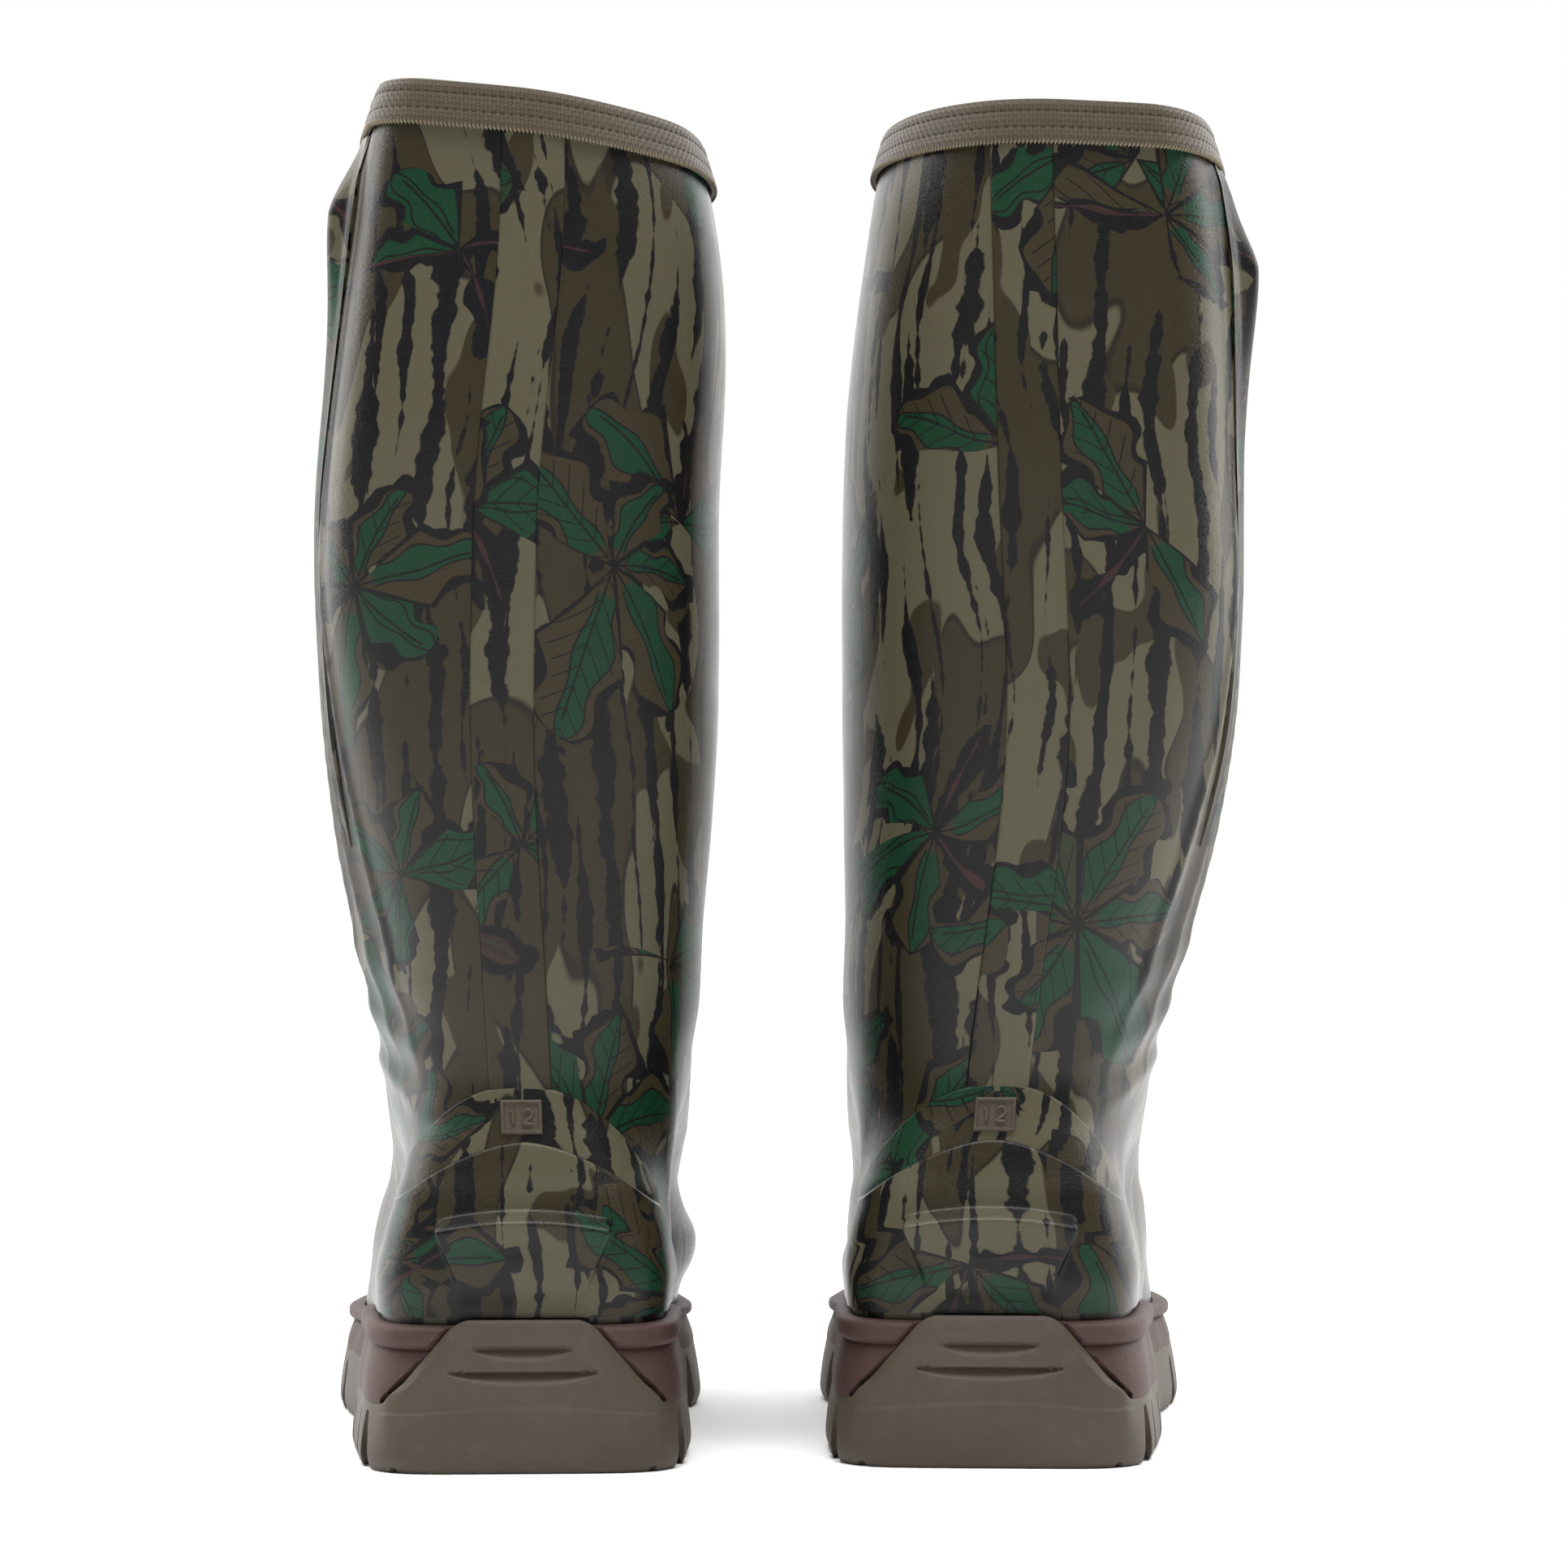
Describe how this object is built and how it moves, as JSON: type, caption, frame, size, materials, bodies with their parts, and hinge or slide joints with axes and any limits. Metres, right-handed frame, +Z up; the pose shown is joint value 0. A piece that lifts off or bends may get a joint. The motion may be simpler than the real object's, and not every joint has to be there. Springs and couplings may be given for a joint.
{
  "type": "insulated hunting boots",
  "caption": "Knee-high insulated rubber hunting boots, a left and a right, with lugged outsole, foam midsole, heel kick ledge, flexing ankle, pleated side gusset and taped collar",
  "frame": {"origin": "on the floor, midway between the two boots in width and in length", "axes": "+Y points to the toes, +Z up, +X to the wearer's right"},
  "size_m": [0.3182, 0.3406, 0.4628],
  "materials": {
    "printed_rubber": "satin rubber with a fine leather-like grain and a leaf-and-bark camouflage print",
    "overlay_rubber": "satin printed rubber overlay, slightly raised at its edges",
    "gusset_rubber": "thin folded rubber, satin, printed",
    "outsole_rubber": "matte moulded taupe rubber with a fine pebble",
    "midsole_foam": "matte moulded foam, dull maroon brown",
    "badge_rubber": "matte moulded rubber",
    "binding_tape": "woven tape with rows of stitches",
    "liner": "knitted face on closed-cell foam",
    "footbed_foam": "knitted top cover on soft foam",
    "board": "pressed fibre board",
    "stiffener": "plain moulded sheet",
    "shank_steel": "plain sheet steel"
  },
  "bodies": {
    "left_foot": {"left_outsole": "outsole_rubber", "left_midsole": "midsole_foam", "left_shank": "shank_steel", "left_insole_board": "board", "left_footbed": "footbed_foam", "left_foot_shell": "printed_rubber", "left_foot_liner": "liner", "left_toe_puff": "stiffener", "left_heel_counter": "stiffener", "left_toe_cap": "overlay_rubber", "left_lower_heel_overlay": "overlay_rubber", "left_upper_heel_overlay": "overlay_rubber", "left_size_badge": "badge_rubber", "left_ankle_shell": "printed_rubber", "left_ankle_liner": "liner"},
    "right_foot": {"right_outsole": "outsole_rubber", "right_midsole": "midsole_foam", "right_shank": "shank_steel", "right_insole_board": "board", "right_footbed": "footbed_foam", "right_foot_shell": "printed_rubber", "right_foot_liner": "liner", "right_toe_puff": "stiffener", "right_heel_counter": "stiffener", "right_toe_cap": "overlay_rubber", "right_lower_heel_overlay": "overlay_rubber", "right_upper_heel_overlay": "overlay_rubber", "right_size_badge": "badge_rubber", "right_ankle_shell": "printed_rubber", "right_ankle_liner": "liner"},
    "left_shaft": {"left_shaft_shell": "printed_rubber", "left_shaft_liner": "liner", "left_backstay": "overlay_rubber", "left_side_gusset": "gusset_rubber", "left_top_binding": "binding_tape"},
    "right_shaft": {"right_shaft_shell": "printed_rubber", "right_shaft_liner": "liner", "right_backstay": "overlay_rubber", "right_side_gusset": "gusset_rubber", "right_top_binding": "binding_tape"}
  },
  "joints": [
    {"name": "boot_spacing", "type": "slide", "parent": "left_foot", "child": "right_foot", "axis": [1, 0, 0], "range_m": [0, 0.2]},
    {"name": "left_ankle_flex", "type": "hinge", "parent": "left_foot", "child": "left_shaft", "pos_m": [-0.08827, -0.09439, 0.13], "axis": [-0.9986, -0.0523, 0], "range_deg": [-8, 20], "stiffness_Nm_per_rad": 9, "deforming": ["left_ankle_shell", "left_ankle_liner"]},
    {"name": "right_ankle_flex", "type": "hinge", "parent": "right_foot", "child": "right_shaft", "pos_m": [0.07255, -0.07989, 0.13], "axis": [-0.9986, 0.0523, 0], "range_deg": [-8, 20], "stiffness_Nm_per_rad": 9, "deforming": ["right_ankle_shell", "right_ankle_liner"]}
  ]
}
